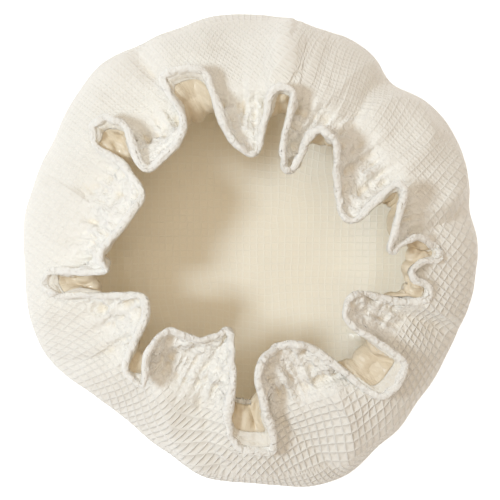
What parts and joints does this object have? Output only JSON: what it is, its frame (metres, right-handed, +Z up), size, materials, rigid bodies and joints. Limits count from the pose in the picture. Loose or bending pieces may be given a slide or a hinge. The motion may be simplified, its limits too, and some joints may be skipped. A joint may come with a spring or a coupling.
{
  "type": "shower cap",
  "caption": "Gathered shower cap lying on its crown, with a ruffled mouth, waffle-weave cotton outside and a clear waterproof lining inside.",
  "frame": {"origin": "middle of the flattened crown, on the surface that the cap rests on", "axes": "+Z up, out of the gathered mouth; +Y along the cap's longer width, towards the top of the picture; +X to the right"},
  "size_m": [0.2711, 0.2837, 0.1111],
  "materials": {
    "waffle_cloth": "ivory waffle-weave cotton",
    "clear_film": "clear, smooth waterproof film",
    "cotton_facing": "ivory cotton, turned in and stitched",
    "elastic_tape": "white knitted elastic"
  },
  "bodies": {
    "root": {"shell": "waffle_cloth", "lining": "clear_film", "hem_facing": "cotton_facing", "elastic_band": "elastic_tape"}
  },
  "joints": []
}
